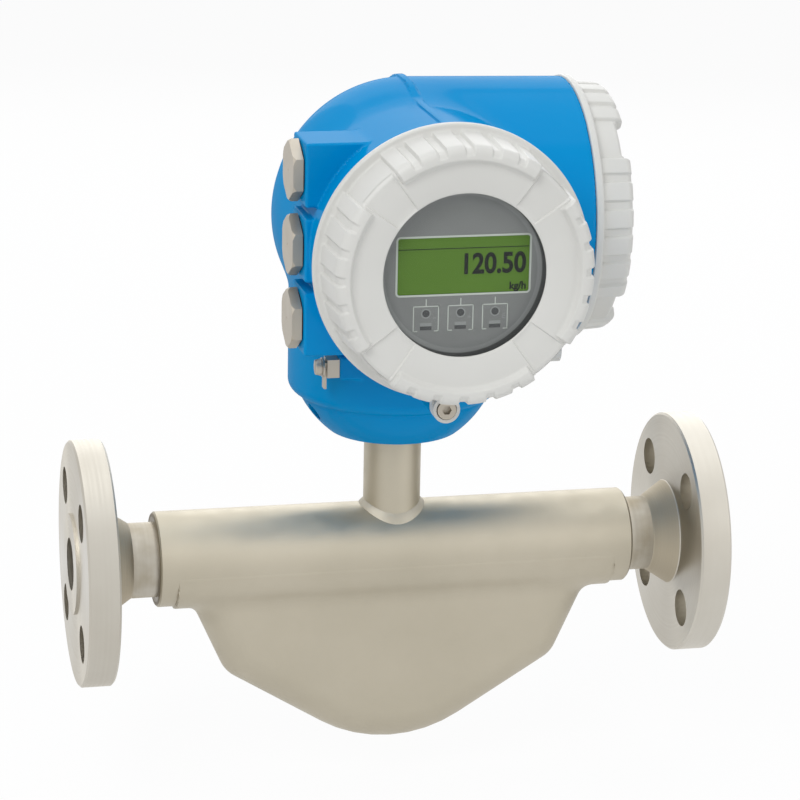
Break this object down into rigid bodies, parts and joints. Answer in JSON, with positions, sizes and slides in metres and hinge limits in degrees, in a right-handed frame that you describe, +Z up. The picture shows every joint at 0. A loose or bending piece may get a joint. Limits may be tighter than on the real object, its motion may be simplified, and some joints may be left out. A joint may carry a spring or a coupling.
{
  "type": "coriolis flow meter",
  "caption": "Flanged twin-tube coriolis mass flow meter with a pressed shell under its sensor tube and a two-chamber transmitter housing with a display on its neck.",
  "frame": {"origin": "centre of the inlet flange's raised face, on the pipe axis", "axes": "+X along the flow towards the outlet, +Z up along the neck, -Y towards the display side"},
  "size_m": [0.329, 0.2065, 0.3472],
  "materials": {
    "flange_steel": "fine turned",
    "blasted_steel": "bead blasted",
    "inner_steel": "drawn",
    "housing_blue": "satin powder coat",
    "cover_grey": "satin powder coat",
    "nickel": "matt nickel",
    "dark_steel": "oxidised",
    "seal_rubber": "matt",
    "copper": "varnished wire",
    "magnet": "plated",
    "ceramic": "matt",
    "window_glass": "clear",
    "display_grey": "printed film",
    "module_black": "moulded",
    "lcd_green": "liquid crystal",
    "lcd_ink": "liquid crystal segments",
    "print_grey": "screen print",
    "board_green": "solder resist",
    "cable_black": "matt"
  },
  "bodies": {
    "sensor_body": {"inlet_flange": "flange_steel", "outlet_flange": "flange_steel", "inlet_splitter": "inner_steel", "outlet_splitter": "inner_steel", "measuring_tube_front": "inner_steel", "measuring_tube_rear": "inner_steel", "inlet_brace": "inner_steel", "outlet_brace": "inner_steel", "sensor_tube": "blasted_steel", "sensor_shell": "blasted_steel", "drive_coil": "copper", "drive_magnet": "magnet", "inlet_pickoff_coil": "copper", "inlet_pickoff_magnet": "magnet", "outlet_pickoff_coil": "copper", "outlet_pickoff_magnet": "magnet", "temperature_sensor": "ceramic", "sensor_cable": "cable_black", "neck_tube": "blasted_steel", "neck_spigot": "inner_steel", "neck_seal": "seal_rubber", "neck_feedthrough": "ceramic"},
    "housing_body": {"transmitter_housing": "housing_blue", "housing_set_screw": "dark_steel", "upper_blind_plug": "nickel", "middle_blind_plug": "nickel", "lower_blind_plug": "nickel", "upper_plug_washer": "seal_rubber", "middle_plug_washer": "seal_rubber", "lower_plug_washer": "seal_rubber", "ground_clamp": "nickel", "ground_screw": "nickel", "display_cover_clamp": "cover_grey", "display_clamp_screw": "nickel", "electronics_cover_clamp": "cover_grey", "electronics_clamp_screw": "nickel", "electronics_module": "module_black", "main_board": "board_green", "terminal_block": "board_green", "display_holder": "module_black"},
    "display_body": {"display_module": "module_black", "display_face": "display_grey", "lcd_panel": "lcd_green", "display_board": "board_green", "display_nut": "dark_steel"},
    "display_seal_body": {"display_cover_seal": "seal_rubber"},
    "display_cover_body": {"display_cover": "cover_grey", "cover_window": "window_glass", "window_seal": "seal_rubber", "window_ring": "dark_steel"},
    "electronics_seal_body": {"electronics_cover_seal": "seal_rubber"},
    "electronics_cover_body": {"electronics_cover": "cover_grey"}
  },
  "joints": [
    {"name": "housing_turn", "type": "hinge", "parent": "sensor_body", "child": "housing_body", "pos_m": [0.1645, 0, 0.075], "axis": [0, 0, 1], "range_deg": [-175, 175]},
    {"name": "display_turn", "type": "hinge", "parent": "housing_body", "child": "display_body", "pos_m": [0.1645, -0.12, 0.177], "axis": [0, -1, 0], "range_deg": [-180, 180]},
    {"name": "display_cover_travel", "type": "slide", "parent": "housing_body", "child": "display_seal_body", "axis": [0, -1, 0], "range_m": [0, 0.0101]},
    {"name": "display_cover_screw", "type": "hinge", "parent": "display_seal_body", "child": "display_cover_body", "pos_m": [0.1645, -0.115, 0.177], "axis": [0, -1, 0], "range_deg": [0, 1800]},
    {"name": "electronics_cover_travel", "type": "slide", "parent": "housing_body", "child": "electronics_seal_body", "axis": [1, 0, 0], "range_m": [0, 0.0101]},
    {"name": "electronics_cover_screw", "type": "hinge", "parent": "electronics_seal_body", "child": "electronics_cover_body", "pos_m": [0.2495, -0.006, 0.177], "axis": [1, 0, 0], "range_deg": [0, 1800]}
  ],
  "couplings": [
    {"joint": "display_cover_travel", "follows": "display_cover_screw", "m_per_rad": 0.00031831},
    {"joint": "electronics_cover_travel", "follows": "electronics_cover_screw", "m_per_rad": 0.00031831}
  ]
}
